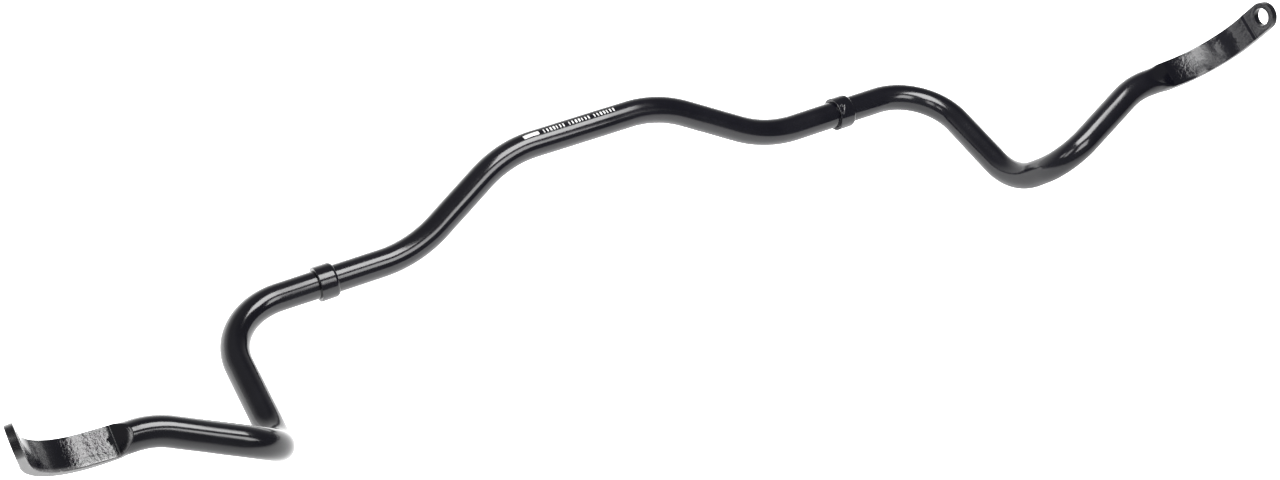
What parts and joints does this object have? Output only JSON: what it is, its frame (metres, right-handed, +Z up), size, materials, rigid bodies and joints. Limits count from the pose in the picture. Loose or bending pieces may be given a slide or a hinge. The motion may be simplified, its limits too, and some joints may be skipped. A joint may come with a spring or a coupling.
{
  "type": "sway bar",
  "caption": "Bent tubular sway bar with a cranked middle, two crimped locating collars and flattened, drilled eyes at the ends of its arms.",
  "frame": {"origin": "middle of the bounding box's base, on the floor that the bar lies on", "axes": "+X across the vehicle along the bush axis, towards the right-hand eye; +Y from the arms towards the cranked middle; +Z up as the bar lies at rest"},
  "size_m": [0.9246, 0.2026, 0.1538],
  "materials": {
    "bar_paint": "gloss black paint on steel",
    "collar_paint": "gloss black paint on steel"
  },
  "bodies": {
    "root": {"bar": "bar_paint", "collar_left": "collar_paint", "collar_right": "collar_paint"}
  },
  "joints": []
}
